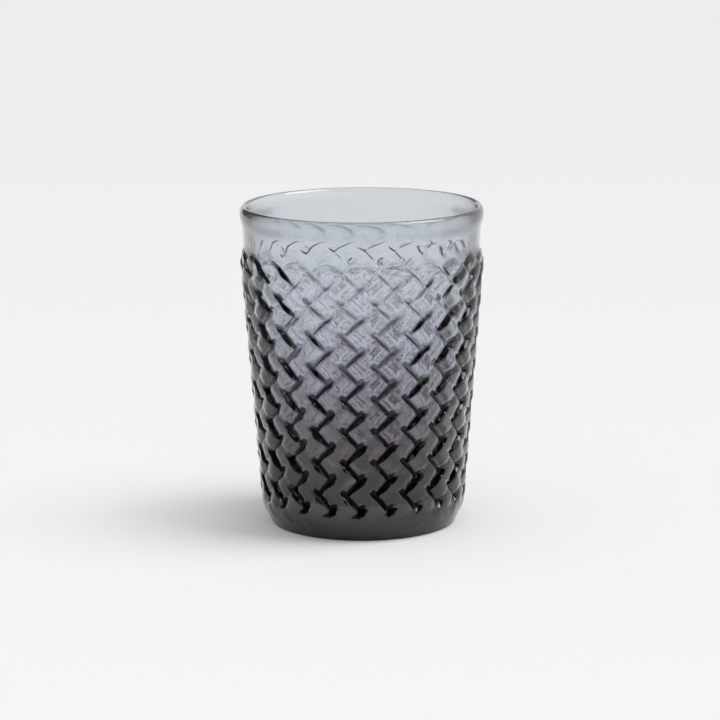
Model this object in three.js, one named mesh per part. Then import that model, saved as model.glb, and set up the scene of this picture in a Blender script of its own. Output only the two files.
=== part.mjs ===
// A pressed glass tumbler with a basket weave moulded in relief round its wall.
// Millimetres, +Z up, the origin at the middle of the face that it stands on.
import * as THREE from "three";

// Driving dimensions of the plain glass
const height = 106;
const neckDiameter = 80; // outside of the plain tapered wall, carried up to the rim
const footDiameter = 63.4; // the same taper carried down to the table
const beadWidth = 2.8; // rim bead, across the wall
const beadHeight = 5.6;
const beadOverhang = 0.4; // how far the bead stands out from the neck
const beadUndercut = 0.5; // plain wall between the neck and the start of the bead
const baseThickness = 10; // glass under the inside floor
const wallAtFloor = 3.9; // wall behind the weave, level with the inside floor
const floorFillet = 9; // rounding between the inside wall and the floor
const footBandHeight = 8; // smooth band under the weave
const footShoulder = 5.8; // height of the shoulder that rounds the band into the foot
const footFaceDiameter = 61; // outer edge of the flat ring that it stands on
const footEdge = 0.4; // small rounding of that edge
const recessDiameter = 54; // shallow dish under the base
const recessDepth = 1;
const recessSlope = 3; // run of the dish's sloping edge

// Driving dimensions of the weave, whose ribbons cross on the bias, over one and under one
const columns = 22; // repeats round the wall
const rows = 8; // repeats up the wall
const columnPhase = 0.405; // turns the pattern, in columns, from the -Y side
const weaveBottom = 10.54; // height of the middle of the lowest row
const plainBand = 15.1; // from the crests that end the weave up to the top of the rim
const ribbonWidth = 4.9;
const ribbonSide = 0.4; // run of a ribbon's steep side
const crownLength = 5.4; // level top of a ribbon where it passes over another
const relief = 1.65; // ribbon tops above the plain wall
const tuck = 0.9; // how far a ribbon has dipped where it passes under another

// Facets
const ringStepsPerColumn = 3;
const beadSteps = 7;
const filletSteps = 4;
const footSteps = 3;
const crestSteps = 5;

const neckRadius = neckDiameter / 2;
const footRadius = footDiameter / 2;

// Radius of the plain tapered wall that the weave stands on
function plainRadius(z) {
  return footRadius + ((neckRadius - footRadius) * z) / height;
}

// The weave's layout. Columns (a) count round the wall and rows (b) up it. Ribbons lie along
// the diagonals, so p = a + b numbers those that fall to the right and q = a - b the others.
const weaveSpan = height - plainBand - weaveBottom;
const middleRadius = plainRadius(height / 2) + relief;
const columnPitch = (2 * Math.PI * middleRadius) / columns;
const nominalPitch = weaveSpan / (rows - 0.5);
const ribbonSpacing = (columnPitch * nominalPitch) / Math.hypot(columnPitch, nominalPitch);
const half = ribbonWidth / ribbonSpacing / 2; // half a ribbon's width, in ribbon spacings
const reach = 1 - half; // half the length that shows between two crossings
const crown = half - ribbonSide / ribbonSpacing; // half the width of a ribbon's flat top
const crownReach = crownLength / ribbonSpacing / 2;
const crestRise = Math.SQRT1_2 + half - 0.5; // of a crest above the middle of the top row, in rows
const rowPitch = weaveSpan / (rows - 1 + crestRise);
const tuckLift = 1 - tuck / relief;

// The ground between the ribbons rises to their tops where the weave runs out into the foot
function footLift(z) {
  const start = weaveBottom + rowPitch * (0.5 - half);
  return THREE.MathUtils.clamp((start - z) / (start - footBandHeight), 0, 1);
}

const positions = [];
const triangles = [];

function addPoint(column, radius, z) {
  const angle = (2 * Math.PI * (column + columnPhase)) / columns;
  positions.push(radius * Math.sin(angle), -radius * Math.cos(angle), z);
  return positions.length / 3 - 1;
}

function addTriangle(first, second, third) {
  triangles.push(first, second, third);
}

// Fills the strip between two loops that run the same way, with the second on the left of the
// first. Each step takes the shorter diagonal. A turn of the wall adds its length to x.
function bridge(firstLoop, secondLoop, turn, flip) {
  const point = (loop, k) => {
    const wrapped = loop[k % loop.length];
    return { ...wrapped, x: wrapped.x + (k >= loop.length ? turn : 0) };
  };
  const gap = (m, n) => Math.hypot(m.x - n.x, m.y - n.y);
  let i = 0;
  let j = 0;
  while (i < firstLoop.length || j < secondLoop.length) {
    const first = point(firstLoop, i);
    const second = point(secondLoop, j);
    const firstNext = point(firstLoop, i + 1);
    const secondNext = point(secondLoop, j + 1);
    const secondDone = j === secondLoop.length;
    const stepFirst = i < firstLoop.length && (secondDone || gap(firstNext, second) <= gap(first, secondNext));
    const third = stepFirst ? firstNext : secondNext;
    if (flip) addTriangle(third.index, first.index, second.index);
    else addTriangle(first.index, third.index, second.index);
    if (stepFirst) i += 1;
    else j += 1;
  }
}

function fillLoop(loop, flip) {
  for (let k = 1; k < loop.length - 1; k += 1) {
    if (flip) addTriangle(loop[0].index, loop[k + 1].index, loop[k].index);
    else addTriangle(loop[0].index, loop[k].index, loop[k + 1].index);
  }
}

// A point of the weave, shared by every tile that meets there. Lift runs from 0 on the plain
// wall to 1 on a ribbon's top.
const keyScale = 10000;
const weavePoints = new Map();

function weavePoint(p, q, lift) {
  const column = (p + q) / 2;
  const row = (p - q) / 2;
  const turn = columns * keyScale;
  const columnKey = ((Math.round(column * keyScale) % turn) + turn) % turn;
  const key = `${columnKey} ${Math.round(row * keyScale)}`;
  if (!weavePoints.has(key)) {
    const z = weaveBottom + row * rowPitch;
    const radius = plainRadius(z) + relief * Math.max(lift, footLift(z));
    weavePoints.set(key, addPoint(column, radius, z));
  }
  return weavePoints.get(key);
}

// Ribbons that cross at (i, j): the one that falls to the right is on top where i + j is even.
// On a tile, u runs across the top ribbon and v along it.
function tileFrame(i, j) {
  const fallsRight = (i + j) % 2 === 0;
  const place = ([u, v, lift]) => ({
    index: fallsRight ? weavePoint(i + u, j + v, lift) : weavePoint(i + v, j + u, lift),
    x: u,
    y: v,
  });
  return { place, flip: fallsRight };
}

// The side of a ribbon: it drops to the plain wall beside the two gaps and, between them, to
// the ribbon that dives under it
const sideStations = [
  [-reach, 0],
  [-half, 0],
  [-crown, tuckLift],
  [crown, tuckLift],
  [half, 0],
  [reach, 0],
];
const sideUp = sideStations.map(([v, lift]) => [half, v, lift]);
const sideDown = sideStations.map(([v, lift]) => [-half, -v, lift]);
const nearEnd = [[-crown, -reach, tuckLift], [crown, -reach, tuckLift]];
const farEnd = [[crown, reach, tuckLift], [-crown, reach, tuckLift]];

function addTile(i, j, outline, top) {
  const { place, flip } = tileFrame(i, j);
  const outer = outline.map(place);
  const inner = top.map(place);
  bridge(outer, inner, 0, flip);
  fillLoop(inner, flip);
  return outer;
}

const ribbonTop = [
  [crown, -crownReach, 1],
  [crown, crownReach, 1],
  [-crown, crownReach, 1],
  [-crown, -crownReach, 1],
];

function addRibbonTile(i, j) {
  addTile(i, j, [...sideUp, ...farEnd, ...sideDown, ...nearEnd], ribbonTop);
}

// On the top row a ribbon that has risen turns over in a round crest and falls again. The crest
// is an arc, one ribbon spacing in radius, about the lowest corner of the gap that it closes.
function crestArc(radius, from, lift) {
  return Array.from({ length: crestSteps + 1 }, (_, k) => {
    const angle = from + (k / crestSteps) * (Math.PI / 2 - from);
    return [radius * Math.sin(angle) - reach, -half - radius * Math.cos(angle), lift];
  });
}

function addCrestTile(i, j) {
  const underNeighbour = sideUp.slice(2, 5).reverse().map(([u, v, lift]) => [u - 1, v - 1, lift]);
  const outline = [
    [-half, -reach, 0],
    ...underNeighbour,
    ...crestArc(1, 0, 0),
    ...sideUp.slice(2),
    ...farEnd,
    ...sideDown.slice(0, -1),
  ];
  const topRadius = reach + crown;
  const top = [
    [-crown, crown - 1, 1],
    [-crownReach, crown - 1, 1],
    ...crestArc(topRadius, Math.asin((reach - crownReach) / topRadius), 1),
    [crown, crownReach, 1],
    [-crown, crownReach, 1],
  ];
  addTile(i, j, outline, top);
}

// The bottom row runs out into the smooth band of the foot
function addRunOutTile(i, j) {
  const outline = [...sideUp, [-half, -half, 0], [-half, -reach, 0], ...nearEnd];
  const top = [[crown, -crownReach, 1], [crown, crownReach, 1], [-crown, -crownReach, 1]];
  addTile(i, j, outline, top);
}

// The square gap between four ribbons shows the plain wall
function addGap(p, q) {
  const gap = 0.5 - half;
  const corners = [[-gap, -gap], [-gap, gap], [gap, gap], [gap, -gap]];
  fillLoop(corners.map(([dp, dq]) => ({ index: weavePoint(p + dp, q + dq, 0) })));
}

function addWeave() {
  for (let n = 0; n < columns; n += 1) {
    for (let m = 0; m < rows; m += 1) {
      if (m === 0) addRunOutTile(n, n);
      else if (m === rows - 1) addCrestTile(n + m, n - m);
      else addRibbonTile(n + m, n - m);
      addGap(n + m + 0.5, n - m + 0.5);
      if (m < rows - 1) {
        addRibbonTile(n + m + 1, n - m);
        addGap(n + m + 0.5, n - m - 0.5);
      }
    }
  }
}

function weaveLoopPoint(p, q) {
  return { index: weavePoint(p, q, 0), x: (p + q) / 2, y: (p - q) / 2 };
}

// The scalloped edge along the crests, and the zigzag along the foot
function weaveTopLoop() {
  return Array.from({ length: columns }, (_, n) => {
    const i = n + rows;
    const j = n + 2 - rows;
    return crestArc(1, 0, 0).slice(0, -1).map(([u, v]) => weaveLoopPoint(i + u, j + v));
  }).flat();
}

function weaveBottomLoop() {
  return Array.from({ length: columns }, (_, n) => [
    weaveLoopPoint(n - half, n - half),
    weaveLoopPoint(n + half, n + reach),
  ]).flat();
}

function ring(radius, z) {
  return Array.from({ length: columns * ringStepsPerColumn }, (_, k) => {
    const column = k / ringStepsPerColumn;
    return { index: addPoint(column, radius, z), x: column, y: (z - weaveBottom) / rowPitch };
  });
}

// Revolves a profile that ends on the axis, starting from the edge of the weave
function addRevolved(profile, edge, downwards) {
  let previous = edge;
  for (const { x: radius, y: z } of profile.slice(0, -1)) {
    const next = ring(radius, z);
    if (downwards) bridge(next, previous, columns, false);
    else bridge(previous, next, columns, false);
    previous = next;
  }
  const middle = addPoint(0, 0, profile.at(-1).y);
  previous.forEach(({ index }, k) => {
    const after = previous[(k + 1) % previous.length].index;
    if (downwards) addTriangle(after, index, middle);
    else addTriangle(index, after, middle);
  });
}

// Neck, rim bead, inside wall and inside floor
function upperProfile() {
  const beadMiddle = height - beadHeight / 2;
  const beadRadius = plainRadius(beadMiddle) + beadOverhang - beadWidth / 2;
  const beadStart = height - beadHeight - beadUndercut;
  const neckStart = height - plainBand + beadUndercut;
  const beadFrom = -Math.PI / 6; // a whole number of steps puts a ring on the very top
  const bead = new THREE.EllipseCurve(beadRadius, beadMiddle, beadWidth / 2, beadHeight / 2, beadFrom, Math.PI);
  const floorRadius = plainRadius(baseThickness) - wallAtFloor;
  const wallTop = new THREE.Vector2(beadRadius - beadWidth / 2, beadMiddle);
  const wallFoot = new THREE.Vector2(floorRadius, baseThickness);
  const filletTop = wallFoot.clone().lerp(wallTop, floorFillet / wallFoot.distanceTo(wallTop));
  const filletEnd = new THREE.Vector2(floorRadius - floorFillet, baseThickness);
  const fillet = new THREE.QuadraticBezierCurve(filletTop, wallFoot, filletEnd);
  return [
    new THREE.Vector2(plainRadius(neckStart), neckStart),
    new THREE.Vector2(plainRadius(beadStart), beadStart),
    ...bead.getPoints(beadSteps),
    ...fillet.getPoints(filletSteps),
    new THREE.Vector2(0, baseThickness),
  ];
}

// Smooth foot, standing ring and the dish under the base
function lowerProfile() {
  const onBand = (z) => new THREE.Vector2(plainRadius(z) + relief, z);
  const footFace = footFaceDiameter / 2;
  const recess = recessDiameter / 2;
  const foot = new THREE.QuadraticBezierCurve(
    onBand(footBandHeight),
    onBand(footShoulder),
    new THREE.Vector2(footFace + footEdge, footEdge),
  );
  return [
    ...foot.getPoints(footSteps),
    new THREE.Vector2(footFace, 0),
    new THREE.Vector2(recess, 0),
    new THREE.Vector2(recess - recessSlope, recessDepth),
    new THREE.Vector2(0, recessDepth),
  ];
}

function glassGeometry() {
  addWeave();
  addRevolved(upperProfile(), weaveTopLoop(), false);
  addRevolved(lowerProfile(), weaveBottomLoop(), true);
  const geometry = new THREE.BufferGeometry();
  geometry.setAttribute("position", new THREE.Float32BufferAttribute(positions, 3));
  geometry.setIndex(triangles);
  geometry.computeVertexNormals();
  return geometry;
}

// Smoke-grey glass, nearly black at the foot
const smokeGlass = new THREE.MeshStandardMaterial({ color: 0x5b636b, roughness: 0.06, metalness: 0 });

const glassBody = new THREE.Mesh(glassGeometry(), smokeGlass);
glassBody.name = "glass_body";

const tumbler = new THREE.Group();
tumbler.name = "glass_tumbler";
tumbler.add(glassBody);

export default tumbler;
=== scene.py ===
import math

import bmesh
import bpy
from mathutils import Euler, Matrix, Vector


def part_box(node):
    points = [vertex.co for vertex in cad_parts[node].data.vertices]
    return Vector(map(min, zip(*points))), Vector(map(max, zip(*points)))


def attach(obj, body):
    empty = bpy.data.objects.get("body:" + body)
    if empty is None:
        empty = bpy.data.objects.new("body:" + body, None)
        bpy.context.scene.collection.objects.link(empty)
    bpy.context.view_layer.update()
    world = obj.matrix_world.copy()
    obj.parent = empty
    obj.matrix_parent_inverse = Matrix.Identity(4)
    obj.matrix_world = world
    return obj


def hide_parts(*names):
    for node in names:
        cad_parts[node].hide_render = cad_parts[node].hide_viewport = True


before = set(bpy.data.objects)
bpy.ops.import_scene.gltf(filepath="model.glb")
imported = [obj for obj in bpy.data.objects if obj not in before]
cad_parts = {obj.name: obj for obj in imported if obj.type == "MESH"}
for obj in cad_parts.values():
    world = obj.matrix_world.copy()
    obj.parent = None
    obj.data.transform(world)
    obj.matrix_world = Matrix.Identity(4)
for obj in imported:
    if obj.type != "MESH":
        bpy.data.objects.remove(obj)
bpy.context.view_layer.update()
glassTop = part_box("glass_body")[1].z
print("frame loaded:", len(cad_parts), "solid,", round(glassTop, 4), "m high")


class Value:  # one output socket, so that sums on it add Math nodes
    def __init__(self, maker, socket):
        self.maker = maker
        self.socket = socket

    def __add__(self, other):
        return self.maker.math("ADD", self, other)

    def __radd__(self, other):
        return self.maker.math("ADD", other, self)

    def __sub__(self, other):
        return self.maker.math("SUBTRACT", self, other)

    def __rsub__(self, other):
        return self.maker.math("SUBTRACT", other, self)

    def __mul__(self, other):
        return self.maker.math("MULTIPLY", self, other)

    def __rmul__(self, other):
        return self.maker.math("MULTIPLY", other, self)

    def __truediv__(self, other):
        return self.maker.math("DIVIDE", self, other)

    def __pow__(self, other):
        return self.maker.math("POWER", self, other)


class Maker:  # adds nodes to one tree
    def __init__(self, tree):
        self.tree = tree

    def node(self, kind, settings=None, inputs=None, out=0):
        made = self.tree.nodes.new(kind)
        for name, value in (settings or {}).items():
            if name == "stops":
                self.fillRamp(made.color_ramp, value)
            else:
                setattr(made, name, value)
        for name, value in (inputs or {}).items():
            self.feed(made.inputs[name], value)
        return Value(self, made.outputs[out]) if len(made.outputs) else made

    def feed(self, socket, value):
        if isinstance(value, Value):
            self.tree.links.new(value.socket, socket)
        else:
            socket.default_value = value

    def fillRamp(self, ramp, stops):
        while len(ramp.elements) < len(stops):
            ramp.elements.new(1.0)
        for element, (place, colour) in zip(ramp.elements, stops):
            element.position = place
            element.color = (*colour, 1.0)

    def math(self, operation, *values):
        return self.node("ShaderNodeMath", {"operation": operation}, dict(enumerate(values)))

    def split(self, vector):
        parts = self.node("ShaderNodeSeparateXYZ", None, {0: vector})
        return [Value(self, socket) for socket in parts.socket.node.outputs]

    def join(self, x, y, z):
        return self.node("ShaderNodeCombineXYZ", None, {0: x, 1: y, 2: z})

    def smooth(self, value, low, high):
        ranged = {"Value": value, "From Min": low, "From Max": high}
        return self.node("ShaderNodeMapRange", {"interpolation_type": "SMOOTHSTEP"}, ranged)

    def mixShader(self, share, first, second):
        return self.node("ShaderNodeMixShader", None, {0: share, 1: first, 2: second})

    def lightPath(self, *names):  # what kind of ray asks, and what it went through
        path = self.node("ShaderNodeLightPath").socket.node.outputs
        return [Value(self, path[name]) for name in names]


def between(low, high, share):
    return low + (high - low) * share


def newMaterial(name):
    material = bpy.data.materials.new(name)
    material.use_nodes = True
    material.node_tree.nodes.clear()
    return material, Maker(material.node_tree)


def linked(obj):
    bpy.context.scene.collection.objects.link(obj)
    return obj


# camera, fitted to the photograph's view of the rim and the foot
view = {
    "place": (-0.00085, -1.0, 0.2568),
    "tilt": 78.53,  # degrees from straight down
    "roll": -0.3,
    "lens": 154.0,
    "sensor": 36.0,
    "clipStart": 0.01,
}


def makeCamera():
    data = bpy.data.cameras.new("camera")
    data.lens = view["lens"]
    data.sensor_width = view["sensor"]
    data.clip_start = view["clipStart"]
    camera = linked(bpy.data.objects.new("camera", data))
    camera.location = view["place"]
    tilt = Euler((math.radians(view["tilt"]), 0.0, 0.0)).to_matrix()
    camera.rotation_euler = (tilt @ Matrix.Rotation(math.radians(view["roll"]), 3, "Z")).to_euler()
    bpy.context.scene.camera = camera
    print("camera set")


# smoke glass, coloured by height: pale at the rim and near black at the foot
smoke = {  # heights are shares of the glass's height
    "ior": 1.5,
    "roughness": 0.02,
    "shine": (1.0, 0.955, 0.97),  # colour of what it reflects
    "stops": [  # height, then what one wall lets through
        (0.00, (0.010, 0.0095, 0.0095)),
        (0.05, (0.014, 0.013, 0.013)),
        (0.10, (0.062, 0.054, 0.057)),
        (0.16, (0.175, 0.158, 0.168)),
        (0.25, (0.312, 0.288, 0.314)),
        (0.35, (0.450, 0.436, 0.480)),
        (0.45, (0.562, 0.568, 0.628)),
        (0.55, (0.676, 0.694, 0.755)),
        (0.65, (0.768, 0.792, 0.852)),
        (0.80, (0.815, 0.842, 0.891)),
        (0.88, (0.815, 0.844, 0.886)),
        (0.95, (0.800, 0.830, 0.866)),
    ],
    "gloss": 0.6,  # fire-polished skin, most on the heavy lower half and the neck
    "glossFrom": 0.35,  # it fades out from here
    "glossTo": 0.75,
    "footGloss": 0.1,
    "footGlossFrom": 0.03,
    "footGlossTo": 0.10,
    "neckGloss": 1.0,
    "neckStart": 0.86,
    "neckEnd": 0.90,
    "slitKeep": (0.03, 0.88),  # share of the colour left in the slits under their painted shade, low and high on the glass
    "slitShine": (0.24, 0.21, 0.21),  # low on the glass their reflections are dimmed too, a painted shade
    "slitKeepFrom": 0.42,
    "slitKeepTo": 0.80,
    "grainScale": 1500.0,  # the press left a fine grain and pits on the ribbons
    "grainDetail": 3.0,
    "grainShare": 0.5,
    "grainDepth": 0.00008,
    "grainFrom": 0.25,
    "grainTo": 0.65,
    "pitScale": 1150.0,
    "pitDetail": 2.0,
    "pitShare": 0.8,
    "pitStart": 0.60,  # noise above this is a pit
    "pitFull": 0.68,
    "beadStart": 0.928,  # the rim bead, from here up, is drawn out thin and soft
    "beadEnd": 0.97,
    "beadColour": (0.775, 0.808, 0.845),
    "beadIor": 1.12,
    "beadRoughness": 0.22,
    "shadowLow": 0.42,  # what the glass lets through of the lamp, at the foot and at the rim
    "shadowHigh": 0.88,
    "shadowTop": 0.95,
}


def glassLook(make, settings):
    look = {
        "Transmission Weight": 1.0,
        "Specular Tint": (*smoke["shine"], 1.0),
    }
    return make.node("ShaderNodeBsdfPrincipled", None, {**look, **settings})


def pressGrain(make, spot, height):  # bump on the ribbons where the glass is clear
    grainNoise = {"Vector": spot, "Scale": smoke["grainScale"], "Detail": smoke["grainDetail"]}
    pitNoise = {"Vector": spot, "Scale": smoke["pitScale"], "Detail": smoke["pitDetail"]}
    grain = make.node("ShaderNodeTexNoise", None, grainNoise)
    pits = make.node("ShaderNodeTexNoise", None, pitNoise)
    pits = make.smooth(pits, smoke["pitStart"], smoke["pitFull"])
    grain = grain * smoke["grainShare"] - smoke["pitShare"] * pits
    woven = make.node("ShaderNodeAttribute", {"attribute_name": "woven"}, out="Fac")
    grain = grain * woven * make.smooth(height, smoke["grainFrom"], smoke["grainTo"])
    bump = {"Distance": smoke["grainDepth"], "Height": grain}
    return make.node("ShaderNodeBump", None, bump, out="Normal")


def skinGloss(make, height):
    aboveFoot = make.smooth(height, smoke["footGlossFrom"], smoke["footGlossTo"])
    gloss = between(smoke["footGloss"], smoke["gloss"], aboveFoot)
    gloss = gloss * (1.0 - make.smooth(height, smoke["glossFrom"], smoke["glossTo"]))
    return gloss + smoke["neckGloss"] * make.smooth(height, smoke["neckStart"], smoke["neckEnd"])


def lampAlpha(make, height):  # rays that only gather light for the floor pass straight through
    shadow, diffuse = make.lightPath("Is Shadow Ray", "Is Diffuse Ray")
    upTheGlass = make.smooth(height, 0.0, smoke["shadowTop"])
    clear = between(smoke["shadowLow"], smoke["shadowHigh"], upTheGlass)
    return 1.0 - make.math("MAXIMUM", shadow, diffuse) * clear


def makeSmokeGlass():
    material, make = newMaterial("smoke_glass")
    spot = make.node("ShaderNodeTexCoord", out="Object")
    height = make.split(spot)[2] / glassTop
    tint = make.node("ShaderNodeValToRGB", {"stops": smoke["stops"]}, {0: height})
    # painted shade: the slits are darkened, most of all low on the glass, where they look black
    slit = make.node("ShaderNodeAttribute", {"attribute_name": "slit"}, out="Fac")
    clearing = make.smooth(height, smoke["slitKeepFrom"], smoke["slitKeepTo"])
    kept = between(*smoke["slitKeep"], clearing)
    darkened = {0: tint, "Scale": 1.0 - slit * (1.0 - kept)}
    alpha = lampAlpha(make, height)
    wallLook = {
        "Base Color": make.node("ShaderNodeVectorMath", {"operation": "SCALE"}, darkened),
        "IOR": smoke["ior"],
        "Roughness": smoke["roughness"],
        "Normal": pressGrain(make, spot, height),
        "Alpha": alpha,
    }
    wall = glassLook(make, {**wallLook, "Coat Weight": skinGloss(make, height)})
    # painted shade: in the slits low on the glass the reflections are dimmed as well
    shadedSlitGlass = glassLook(make, {**wallLook, "Specular Tint": (*smoke["slitShine"], 1.0)})
    wall = make.mixShader(slit * (1.0 - clearing), wall, shadedSlitGlass)
    beadLook = {
        "Base Color": (*smoke["beadColour"], 1.0),
        "IOR": smoke["beadIor"],
        "Roughness": smoke["beadRoughness"],
        "Alpha": alpha,
        "Coat Weight": smoke["neckGloss"],
    }
    onBead = make.smooth(height, smoke["beadStart"], smoke["beadEnd"])
    surface = make.mixShader(onBead, wall, glassLook(make, beadLook))
    make.node("ShaderNodeOutputMaterial", None, {"Surface": surface})
    print("smoke glass ready")
    return material


# the plain glass, in metres, on the same sizes as the solid
plain = {
    "neckRadius": 0.0400,  # the tapered wall carried up to the rim
    "footRadius": 0.0317,  # and down to the table
    "neckBlend": 0.0015,  # from the weave's top to the first level ring
    "neckShares": (0.0, 0.5, 1.0),  # rings on the way there
    "beadWidth": 0.0028,
    "beadHeight": 0.0056,
    "beadOverhang": 0.0004,
    "beadUndercut": 0.0005,
    "beadFrom": -30.0,  # degrees, from the outside of the bead over its top
    "beadTurn": 210.0,
    "beadSteps": 14,
    "wallShares": (0.3, 0.6),  # rings down the inside wall
    "baseThickness": 0.010,
    "wallAtFloor": 0.0039,
    "floorFillet": 0.009,
    "filletSteps": 6,
    "floorShare": 0.5,  # ring on the inside floor
    "footBandHeight": 0.008,
    "footDrop": 0.00248,  # how far the foot rounds in below the band
    "footBend": 1.3,
    "footShares": (0.0, 0.3, 0.65, 1.0),  # rings from the weave down to the foot's edge
    "footFaceRadius": 0.0305,
    "footEdge": 0.0004,
    "footEdgeTop": 1.6,  # in foot edges above the table
    "footEdgeSteps": [(0.35, 0.3), (-0.5, 0.0)],  # out and up from the face, in foot edges
    "recessRadius": 0.027,
    "recessSlope": 0.003,
    "recessDepth": 0.001,
    "recessSteps": [(0.0, 0.0), (0.5, 0.6), (1.0, 1.0)],  # shares of the slope and of the depth
    "recessShare": 0.4,  # ring on the flat of the dish
}

# the weave: ribbons cross on the bias, over one and under one
weave = {
    "columns": 22,
    "rows": 8,
    "phase": 0.405,  # in columns, from the front
    "bottom": 0.01054,  # middle of the lowest falling ribbons
    "rowPitch": 0.01068,
    "squeezeBelow": 0.006,  # the lowest half row is squeezed to end above the table
    "squeeze": 0.814,
    "relief": 0.00165,
    "joinLevel": 0.84,  # height of the joins between ribbons
    "slitHalf": 0.02,  # bottom of a slit, from its middle
    "flankWidth": 0.18,  # its slope on the side of the float that passes over
    "endWidth": 0.07,  # and its wall on the other side
    "holeHalf": 0.10,  # bottom and edge of the holes where slits meet
    "holeEdge": 0.22,
    "holeShift": 0.09,  # how far a hole lies beyond the turn
    "holeStretch": 0.35,
    "holeLess": 0.22,  # the left-hand holes are smaller
    "slitDepth": 0.35,  # how far the slits cut below the plain wall, as a share of the relief
    "slitFloor": 0.15,  # the painted shade in the slits fades out between these shares of the relief
    "slitShoulder": 0.62,
    "crownDrop": 0.05,  # how much a ribbon's top is rounded
    "crownHalf": 0.4,  # from its middle to where that is reached
    "climbEnd": -0.05,  # a float climbs from its upper end to here, in ribbon spacings
    "dropStart": 0.20,  # and drops on its lower side from here
    "diveStart": 0.0,  # and dives at its lower end from here
    "diveFade": 0.2,  # but less on its lower side from here
    "diveLevel": 0.45,
    "topFill": 0.45,  # slits of the highest rising ribbons, as a share of the relief
    "fillStart": -3.8,  # these levels are in half rows from the weave's top
    "fillFull": -3.2,
    "fillFade": -2.1,
    "fillEnd": -1.9,
    "depthFade": -3.0,  # the slits stop cutting into the wall
    "depthEnd": -2.2,
    "slitEnd": -1.5,  # and lose their painted shade
    "crestBlend": -2.0,  # the joins give way to the crests
    "crestOnly": -1.6,
    "capFade": 0.5,  # the crests of the top row are lower
    "capFadeReach": 0.6,
    "capMiddle": (-0.52, 0.35),  # round end of a falling ribbon on the top row
    "wornScale": 1.7,  # some crests are worn more than others
    "wornDetail": 2.0,
    "wornLeast": 0.4,
    "wornSpan": 1.2,
    "liftStart": 0.0120,  # between these heights the ground rises to the foot band
    "liftFull": 0.0078,
    "liftLevel": 0.86,
    "tileHalf": [0.0, 0.18, 0.30, 0.345, 0.39, 0.435, 0.475, 0.5],  # lines across half a tile
    "weldDistance": 0.00002,
}

# in the weave, p and q count the ribbons along the two ways in which they cross
ribbonEdge = 0.5  # from a ribbon's middle to its side

weaveInputs = {  # what the wall's tree is given
    "Columns": weave["columns"],
    "Rows": weave["rows"],
    "Phase": weave["phase"],
    "Weave Bottom": weave["bottom"],
    "Row Pitch": weave["rowPitch"],
    "Squeeze Below": weave["squeezeBelow"],
    "Squeeze": weave["squeeze"],
    "Relief": weave["relief"],
    "Slit Depth": weave["slitDepth"],
    "Slit Half": weave["slitHalf"],
    "Flank Width": weave["flankWidth"],
    "End Width": weave["endWidth"],
    "Hole Half": weave["holeHalf"],
    "Hole Edge": weave["holeEdge"],
    "Hole Shift": weave["holeShift"],
    "Hole Stretch": weave["holeStretch"],
    "Hole Less": weave["holeLess"],
    "Join Level": weave["joinLevel"],
    "Crown Drop": weave["crownDrop"],
    "Climb End": weave["climbEnd"],
    "Drop Start": weave["dropStart"],
    "Dive Start": weave["diveStart"],
    "Dive Level": weave["diveLevel"],
    "Top Fill": weave["topFill"],
    "Cap Fade": weave["capFade"],
    "Cap Across": weave["capMiddle"][0],
    "Cap Along": weave["capMiddle"][1],
    "Lift Start": weave["liftStart"],
    "Lift Full": weave["liftFull"],
    "Lift Level": weave["liftLevel"],
    "Foot Radius": plain["footRadius"],
    "Taper": (plain["neckRadius"] - plain["footRadius"]) / glassTop,
    "Band Height": plain["footBandHeight"],
    "Foot Drop": plain["footDrop"],
    "Foot Bend": plain["footBend"],
    "Foot Edge": plain["footEdge"],
}


def tileLines():
    half = weave["tileHalf"]
    return [-stop for stop in reversed(half[1:])] + half


def makeTileMesh():
    lines = tileLines()
    size = len(lines)
    points = [(p, q, 0.0) for q in lines for p in lines]
    faces = [
        (row * size + k, row * size + k + 1, (row + 1) * size + k + 1, (row + 1) * size + k)
        for row in range(size - 1)
        for k in range(size - 1)
    ]
    mesh = bpy.data.meshes.new("weaveTile")
    mesh.from_pydata(points, [], faces)
    return mesh


def floatHeight(make, inputs, falls, across, beside):
    # each float climbs from the one above it, drops on its lower side and dives at its lower end
    down = falls * beside - (1.0 - falls) * across
    lower = (1.0 - falls) * beside - falls * across
    climb = 1.0 - make.smooth(down, -ribbonEdge, inputs["Climb End"])
    drop = make.smooth(lower, inputs["Drop Start"], ribbonEdge)
    height = 1.0 - (1.0 - inputs["Join Level"]) * make.math("MAXIMUM", climb, drop)
    crown = make.math("MINIMUM", lower, 0.0) / weave["crownHalf"]
    height = height - inputs["Crown Drop"] * crown ** 2.0
    dive = make.smooth(down, inputs["Dive Start"], ribbonEdge)
    dive = dive * (1.0 - make.smooth(lower, weave["diveFade"], ribbonEdge))
    height = height * (1.0 - (1.0 - inputs["Dive Level"]) * dive)
    # a slit runs along its upper side, with a steep wall where the next float ends against it
    rim = ribbonEdge - inputs["Slit Half"]
    flank = 1.0 - make.smooth(0.0 - lower, ribbonEdge - inputs["Flank Width"], rim)
    end = 1.0 - make.smooth(down, ribbonEdge - inputs["End Width"], rim)
    return height * make.math("MINIMUM", flank, end)


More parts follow.
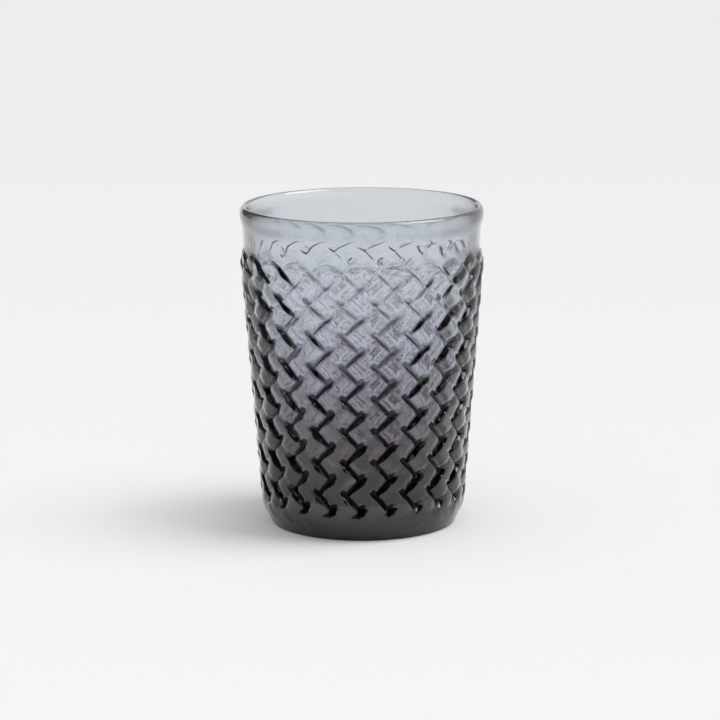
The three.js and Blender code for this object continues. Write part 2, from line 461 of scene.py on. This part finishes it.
def crestHeight(make, inputs, across, past, level, worn):
    # on the top row a falling ribbon turns over in a round crest
    join = inputs["Join Level"]
    high = make.math("GREATER_THAN", past, ribbonEdge)
    capAcross = across - inputs["Cap Across"]
    capAlong = make.math("MAXIMUM", past - inputs["Cap Along"], 0.0)
    fan = make.math("SQRT", capAcross * capAcross + capAlong * capAlong) + inputs["Cap Across"]
    rim = ribbonEdge - inputs["Slit Half"]
    turned = 1.0 - make.smooth(fan, ribbonEdge - inputs["Flank Width"], rim)
    left = make.smooth(0.0 - across, inputs["Drop Start"], ribbonEdge) * (1.0 - high)
    beyond = make.smooth(across + ribbonEdge, inputs["Slit Half"], inputs["End Width"])
    edge = 1.0 - high * (1.0 - beyond)
    fade = make.smooth(past, 0.0, weave["capFadeReach"]) * inputs["Cap Fade"] * worn
    cap = (1.0 - (1.0 - join) * left) * (1.0 - fade) * edge
    joined = join * (1.0 - make.smooth(level, weave["crestBlend"], weave["crestOnly"]))
    return make.math("MAXIMUM", cap, joined) * turned


def cornerHole(make, inputs, p, q):  # 0 in the holes where a slit starts beyond the turn of its zigzag
    cornerP = make.math("FLOOR", p) + ribbonEdge
    cornerQ = make.math("FLOOR", q) + ribbonEdge
    odd = make.math("ABSOLUTE", make.math("MODULO", cornerP - cornerQ, 2.0))
    left = make.math("GREATER_THAN", odd, 0.5)
    right = 1.0 - left
    shift = inputs["Hole Shift"]
    stretch = inputs["Hole Stretch"]
    offsetP = (p - cornerP - shift * right) / (1.0 + stretch * right)
    offsetQ = (q - cornerQ + shift * left) / (1.0 + stretch * left)
    near = make.math("SQRT", offsetP * offsetP + offsetQ * offsetQ)
    near = near / (1.0 - inputs["Hole Less"] * left)
    hole = make.smooth(near, inputs["Hole Half"], inputs["Hole Edge"])
    crest = make.math("GREATER_THAN", p - q, 2.0 * inputs["Rows"] + weave["crestOnly"])
    return make.math("MAXIMUM", hole, crest * left)


def weaveHeight(make, inputs, p, q):  # 0 on the plain wall, 1 at the full relief
    i = make.math("ROUND", p)
    j = make.math("ROUND", q)
    falls = 1.0 - make.math("ABSOLUTE", make.math("MODULO", i + j, 2.0))
    height = floatHeight(make, inputs, falls, p - i, q - j)
    # the highest rising ribbons are pressed shallow
    level = p - q - 2.0 * inputs["Rows"]
    fill = make.smooth(level, weave["fillStart"], weave["fillFull"])
    fill = fill * (1.0 - make.smooth(level, weave["fillFade"], weave["fillEnd"]))
    height = make.math("MAXIMUM", height, inputs["Top Fill"] * fill)
    # above them are the crests
    past = i - q - (2.0 * inputs["Rows"] - 2.0)
    noise = {"Vector": make.join(p, q, 0.0), "Scale": weave["wornScale"], "Detail": weave["wornDetail"]}
    worn = weave["wornLeast"] + weave["wornSpan"] * make.node("ShaderNodeTexNoise", None, noise)
    crest = crestHeight(make, inputs, p - i, past, level, worn)
    height = height + make.math("GREATER_THAN", past, 0.0) * (crest - height)
    return height * cornerHole(make, inputs, p, q)


def layTiles(make, inputs, tile):  # rows half a repeat apart, with rising and falling ribbons by turns
    columns = inputs["Columns"]
    count = columns * (inputs["Rows"] * 2.0 + 1.0)
    index = make.node("GeometryNodeInputIndex")
    n = make.math("MODULO", index, columns)
    row = make.math("FLOOR", index / columns)
    half = make.math("FLOOR", row / 2.0)
    even = 1.0 - make.math("MODULO", row, 2.0)
    lattice = make.join(n + half, n - half + even, 0.0)
    points = make.node("GeometryNodePoints", None, {"Count": count, "Position": lattice})
    tiles = make.node("GeometryNodeInstanceOnPoints", None, {"Points": points, "Instance": tile})
    return make.node("GeometryNodeRealizeInstances", None, {0: tiles})


def wrapWeave(make, inputs):  # place of the flat weave round the tapered wall, and where its slits get painted shade
    p, q, _ = make.split(make.node("GeometryNodeInputPosition"))
    z = inputs["Weave Bottom"] + (p - q) * 0.5 * inputs["Row Pitch"]
    under = make.math("MAXIMUM", inputs["Squeeze Below"] - z, 0.0)
    z = z + under * (1.0 - inputs["Squeeze"])
    lift = 1.0 - make.smooth(z, inputs["Lift Full"], inputs["Lift Start"])
    height = weaveHeight(make, inputs, p, q)
    filled = make.math("MAXIMUM", height, lift)
    # mask for the painted shade in the slits
    slit = 1.0 - make.smooth(filled, weave["slitFloor"], weave["slitShoulder"])
    slit = slit * make.math("LESS_THAN", p - q, 2.0 * inputs["Rows"] + weave["slitEnd"])
    level = p - q - 2.0 * inputs["Rows"]
    depth = inputs["Slit Depth"] * (1.0 - make.smooth(level, weave["depthFade"], weave["depthEnd"]))
    depth = depth * (1.0 - lift)
    height = height * (1.0 + depth) - depth
    height = make.math("MAXIMUM", height, inputs["Lift Level"] * lift - depth)
    below = make.math("MAXIMUM", inputs["Band Height"] - z, 0.0)
    rounding = (below / (inputs["Band Height"] - inputs["Foot Edge"])) ** inputs["Foot Bend"]
    radius = inputs["Foot Radius"] + inputs["Taper"] * z + inputs["Relief"] * height
    radius = radius - inputs["Foot Drop"] * rounding
    angle = ((p + q) * 0.5 + inputs["Phase"]) * (2.0 * math.pi) / inputs["Columns"]
    x = radius * make.math("SINE", angle)
    y = 0.0 - radius * make.math("COSINE", angle)
    return make.join(x, y, z), slit


def makeWeaveTree(material):
    tree = bpy.data.node_groups.new("wovenWall", "GeometryNodeTree")
    tree.interface.new_socket("Tile", in_out="INPUT", socket_type="NodeSocketGeometry")
    for name, value in weaveInputs.items():
        kind = "NodeSocketInt" if isinstance(value, int) else "NodeSocketFloat"
        tree.interface.new_socket(name, in_out="INPUT", socket_type=kind)
    tree.interface.new_socket("Wall", in_out="OUTPUT", socket_type="NodeSocketGeometry")
    make = Maker(tree)
    groupIn = tree.nodes.new("NodeGroupInput")
    inputs = {name: Value(make, groupIn.outputs[name]) for name in weaveInputs}
    cloth = layTiles(make, inputs, Value(make, groupIn.outputs["Tile"]))
    place, slit = wrapWeave(make, inputs)
    # the slit mask carries the slits' painted shade over to the glass material
    onPoints = {"data_type": "FLOAT", "domain": "POINT"}
    for name, value in {"slit": slit, "woven": 1.0}.items():
        stored = {"Geometry": cloth, "Name": name, "Value": value}
        cloth = make.node("GeometryNodeStoreNamedAttribute", onPoints, stored)
    wall = make.node("GeometryNodeSetPosition", None, {"Geometry": cloth, "Position": place})
    weld = {"Geometry": wall, "Distance": weave["weldDistance"]}
    welded = make.node("GeometryNodeMergeByDistance", None, weld)
    whole = make.node("GeometryNodeRealizeInstances", None, {0: welded})
    finished = make.node("GeometryNodeSetMaterial", None, {"Geometry": whole, "Material": material})
    groupOut = tree.nodes.new("NodeGroupOutput")
    tree.links.new(finished.socket, groupOut.inputs["Wall"])
    return tree


def makeWovenWall(material):
    tile = linked(bpy.data.objects.new("weaveTile", makeTileMesh()))
    tree = makeWeaveTree(material)
    modifier = tile.modifiers.new("wovenWall", "NODES")
    modifier.node_group = tree
    for item in tree.interface.items_tree:
        if item.name in weaveInputs:
            modifier[item.identifier] = weaveInputs[item.name]
    evaluated = tile.evaluated_get(bpy.context.evaluated_depsgraph_get())
    mesh = bpy.data.meshes.new_from_object(evaluated)
    tile.modifiers.remove(modifier)
    bpy.data.objects.remove(tile)
    print("woven wall laid:", len(mesh.polygons), "faces")
    return mesh


def plainRadius(z):
    return plain["footRadius"] + (plain["neckRadius"] - plain["footRadius"]) * z / glassTop


def bandRadius(z):  # smooth foot band, level with the ribbons' tops
    lift = min(max((weave["liftStart"] - z) / (weave["liftStart"] - weave["liftFull"]), 0.0), 1.0)
    lift = lift * lift * (3.0 - 2.0 * lift) * weave["liftLevel"]
    below = max(plain["footBandHeight"] - z, 0.0) / (plain["footBandHeight"] - plain["footEdge"])
    return plainRadius(z) + weave["relief"] * lift - plain["footDrop"] * below ** plain["footBend"]


def rowHeight(row):
    z = weave["bottom"] + row * weave["rowPitch"]
    return z + max(weave["squeezeBelow"] - z, 0.0) * (1 - weave["squeeze"])


def ringColumns():  # columns of the points round a ring, as the tiles' corners give them
    lines = tileLines()
    return [
        0.5 * step + 0.5 * (line + 0.5)
        for step in range(2 * weave["columns"])
        for line in lines[:-1]
    ]


def zigzag(column):  # 0 on a whole column, 0.5 half-way between two
    return 0.5 - abs(column % 1.0 - 0.5)


def neckRow(column):  # rows of the weave's upper edge
    return weave["rows"] - 0.5 + zigzag(column)


def footRow(column):  # and of its lower edge
    return -0.5 - zigzag(column)


def ringPoint(column, radius, z):
    angle = 2.0 * math.pi * (column + weave["phase"]) / weave["columns"]
    return Vector((radius * math.sin(angle), -radius * math.cos(angle), z))


def bezier(first, control, last, steps):
    points = []
    for k in range(steps + 1):
        t = k / steps
        weights = ((1 - t) ** 2, 2 * t * (1 - t), t * t)
        axes = zip(first, control, last)
        points.append(tuple(sum(w * c for w, c in zip(weights, axis)) for axis in axes))
    return points


def rimAndInside():  # profile from the neck over the bead, down the inside wall and along the floor
    beadMiddle = glassTop - plain["beadHeight"] / 2
    beadRadius = plainRadius(beadMiddle) + plain["beadOverhang"] - plain["beadWidth"] / 2
    beadStart = glassTop - plain["beadHeight"] - plain["beadUndercut"]
    profile = [(plainRadius(beadStart), beadStart)]
    for k in range(plain["beadSteps"] + 1):
        angle = math.radians(plain["beadFrom"] + plain["beadTurn"] * k / plain["beadSteps"])
        profile.append((
            beadRadius + plain["beadWidth"] / 2 * math.cos(angle),
            beadMiddle + plain["beadHeight"] / 2 * math.sin(angle),
        ))
    floorRadius = plainRadius(plain["baseThickness"]) - plain["wallAtFloor"]
    wallTop = Vector(profile[-1])
    wallFoot = Vector((floorRadius, plain["baseThickness"]))
    filletTop = wallFoot + (wallTop - wallFoot).normalized() * plain["floorFillet"]
    filletEnd = (floorRadius - plain["floorFillet"], plain["baseThickness"])
    for share in plain["wallShares"]:
        profile.append(tuple(wallTop.lerp(filletTop, share)))
    profile += bezier(tuple(filletTop), tuple(wallFoot), filletEnd, plain["filletSteps"])
    profile.append((filletEnd[0] * plain["floorShare"], plain["baseThickness"]))
    return profile


def footAndDish():  # profile from the foot band to the dish under the base
    edge = plain["footEdge"]
    dish = plain["recessRadius"]
    profile = [(plain["footFaceRadius"] + out * edge, up * edge) for out, up in plain["footEdgeSteps"]]
    for inward, up in plain["recessSteps"]:
        profile.append((dish - plain["recessSlope"] * inward, plain["recessDepth"] * up))
    profile.append((dish * plain["recessShare"], plain["recessDepth"]))
    return profile


def addRing(bm, places):  # a radius and a height for each point
    return [bm.verts.new(ringPoint(column, *place)) for column, place in zip(ringColumns(), places)]


def addLevelRings(bm, profile):
    return [addRing(bm, [spot] * len(ringColumns())) for spot in profile]


def addSkirt(bm, edgeRow, endHeight, radiusOf, shares):  # from the weave's zigzag edge to a level ring
    rings = []
    for share in shares:
        heights = [between(rowHeight(edgeRow(column)), endHeight, share) for column in ringColumns()]
        rings.append(addRing(bm, [(radiusOf(z), z) for z in heights]))
    return rings


def addStrip(bm, lower, upper):
    for k in range(len(lower)):
        after = (k + 1) % len(lower)
        bm.faces.new((lower[k], lower[after], upper[after], upper[k]))


def addCap(bm, ring, z):
    middle = bm.verts.new((0.0, 0.0, z))
    for k in range(len(ring)):
        bm.faces.new((ring[k], ring[(k + 1) % len(ring)], middle))


def makePlainGlass(bm):
    neckTop = rowHeight(weave["rows"]) + plain["neckBlend"]
    rings = addSkirt(bm, neckRow, neckTop, plainRadius, plain["neckShares"])
    rings += addLevelRings(bm, rimAndInside())
    for lower, upper in zip(rings, rings[1:]):
        addStrip(bm, lower, upper)
    addCap(bm, rings[-1], plain["baseThickness"])
    footTop = plain["footEdgeTop"] * plain["footEdge"]
    rings = addSkirt(bm, footRow, footTop, bandRadius, plain["footShares"])
    rings += addLevelRings(bm, footAndDish())
    for upper, lower in zip(rings, rings[1:]):
        addStrip(bm, lower, upper)
    addCap(bm, list(reversed(rings[-1])), plain["recessDepth"])


def makeGlass():
    material = makeSmokeGlass()
    wall = makeWovenWall(material)
    bm = bmesh.new()
    bm.from_mesh(wall)
    makePlainGlass(bm)
    bmesh.ops.remove_doubles(bm, verts=bm.verts, dist=weave["weldDistance"])
    bmesh.ops.recalc_face_normals(bm, faces=bm.faces)
    openEdges = sum(1 for edge in bm.edges if not edge.is_manifold)
    mesh = bpy.data.meshes.new("tumblerGlass")
    bm.to_mesh(mesh)
    bm.free()
    mesh.materials.clear()
    mesh.materials.append(material)
    mesh.shade_smooth()
    glass = linked(bpy.data.objects.new("tumbler_glass", mesh))
    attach(glass, "root")
    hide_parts("glass_body")
    mesh.calc_loop_triangles()
    print("glass made:", len(mesh.loop_triangles), "triangles,", openEdges, "open edges")


# studio: pale floor, even light all round and a broad soft lamp high on the right
studio = {
    "floorSize": 8.0,
    "floorStops": [  # share of the way from the front of the floor to its back, then its colour, darker towards the back as painted falloff of the light
        (0.42, (0.93, 0.93, 0.93)),
        (0.47, (0.922, 0.922, 0.922)),
        (0.50, (0.905, 0.905, 0.905)),
        (0.54, (0.888, 0.888, 0.888)),
        (0.62, (0.858, 0.858, 0.858)),
        (0.80, (0.838, 0.838, 0.838)),
    ],
    "floorRoughness": 0.9,
    "glowStart": 0.03,  # painted glow on the floor, seen only in the glass's reflections, from here to the right
    "glowEnd": 0.10,
    "skyColour": (0.99, 0.993, 1.0),
    "skyLight": 0.52,  # what it gives to surfaces
    "skyOverhead": 1.5,  # most of it falls from above
    "skySeen": 0.88,  # how bright it looks
    "roofSeen": 0.02,  # the unlit room above the backdrop
    "roofStart": 0.4,  # sines of the heights where the backdrop ends, through the glass
    "roofEnd": 0.7,
    "frontStart": -0.03,  # and as the glass reflects it
    "frontEnd": 0.12,
    "frontTilt": 1.0,  # the backdrop stands higher on the right
    "backTilt": 0.5,  # and behind the glass
    "bounceLoss": 0.7,  # light lost at each bounce inside the glass
    "sunStrength": 1.85,
    "sunAngle": 36.0,
    "sunTurn": (0.0, 35.0, -4.0),
    "bounces": 24,
}


def keptLight(make):  # light that bounced about inside the glass comes from the dark sides of the room
    within, glossy = make.lightPath("Transmission Depth", "Glossy Depth")
    bounces = glossy * make.math("GREATER_THAN", within, 0.5)
    return make.math("MAXIMUM", 1.0 - studio["bounceLoss"] * bounces, 0.0)


def makeFloor():
    half = studio["floorSize"] / 2
    mesh = bpy.data.meshes.new("floor")
    corners = [(-half, -half, 0.0), (half, -half, 0.0), (half, half, 0.0), (-half, half, 0.0)]
    mesh.from_pydata(corners, [], [(0, 1, 2, 3)])
    floor = linked(bpy.data.objects.new("floor", mesh))
    material, make = newMaterial("pale_floor")
    rightward, backward, _ = make.split(make.node("ShaderNodeTexCoord", out="Object"))
    away = backward / studio["floorSize"] + 0.5
    # pale floor with painted shade: it darkens towards the back, as the light falls off
    paleFloorAndFalloff = make.node("ShaderNodeValToRGB", {"stops": studio["floorStops"]}, {0: away})
    paint = {"Base Color": paleFloorAndFalloff, "Roughness": studio["floorRoughness"], "Specular IOR Level": 0.0}
    surface = make.node("ShaderNodeBsdfPrincipled", None, paint)
    dark = make.node("ShaderNodeEmission", None, {"Strength": 0.0})
    surface = make.mixShader(keptLight(make), dark, surface)
    # painted reflection: the floor on the right glows, but only for rays that the glass reflects
    glossy, through = make.lightPath("Is Glossy Ray", "Is Transmission Ray")
    mirrored = make.math("MAXIMUM", glossy - through, 0.0)
    onGlow = mirrored * make.smooth(rightward, studio["glowStart"], studio["glowEnd"])
    paintedGlow = make.node("ShaderNodeEmission", None, {"Strength": 1.0})
    surface = make.mixShader(onGlow, surface, paintedGlow)
    make.node("ShaderNodeOutputMaterial", None, {"Surface": surface})
    mesh.materials.append(material)


def makeSky():
    world = bpy.data.worlds.new("studio")
    bpy.context.scene.world = world
    world.use_nodes = True
    world.node_tree.nodes.clear()
    make = Maker(world.node_tree)
    camera, glossy, through = make.lightPath("Is Camera Ray", "Is Glossy Ray", "Is Transmission Ray")
    inGlass = make.math("MAXIMUM", glossy, through)
    seen = make.math("MAXIMUM", camera, inGlass)
    rightward, backward, upward = make.split(make.node("ShaderNodeTexCoord", out="Generated"))
    roof = make.smooth(upward, studio["roofStart"], studio["roofEnd"]) * through
    tilted = upward - studio["frontTilt"] * rightward
    tilted = tilted - studio["backTilt"] * make.math("MAXIMUM", backward, 0.0)
    roof = roof + make.smooth(tilted, studio["frontStart"], studio["frontEnd"]) * (inGlass - through)
    overhead = studio["skyOverhead"] * studio["skyLight"] * make.math("MAXIMUM", upward, 0.0)
    strength = seen * studio["skySeen"] + (1.0 - seen) * overhead
    strength = strength + roof * (studio["roofSeen"] - studio["skySeen"])
    strength = strength * keptLight(make)
    colour = (*studio["skyColour"], 1.0)
    light = make.node("ShaderNodeBackground", None, {"Color": colour, "Strength": strength})
    make.node("ShaderNodeOutputWorld", None, {"Surface": light})


def makeSun():
    data = bpy.data.lights.new("softLamp", "SUN")
    data.energy = studio["sunStrength"]
    data.angle = math.radians(studio["sunAngle"])
    sun = linked(bpy.data.objects.new("softLamp", data))
    sun.rotation_euler = [math.radians(turn) for turn in studio["sunTurn"]]


makeCamera()
makeGlass()
makeFloor()
makeSky()
makeSun()
scene = bpy.context.scene
scene.view_settings.view_transform = "Standard"
scene.cycles.max_bounces = studio["bounces"]
scene.cycles.transmission_bounces = studio["bounces"]
print("studio ready")
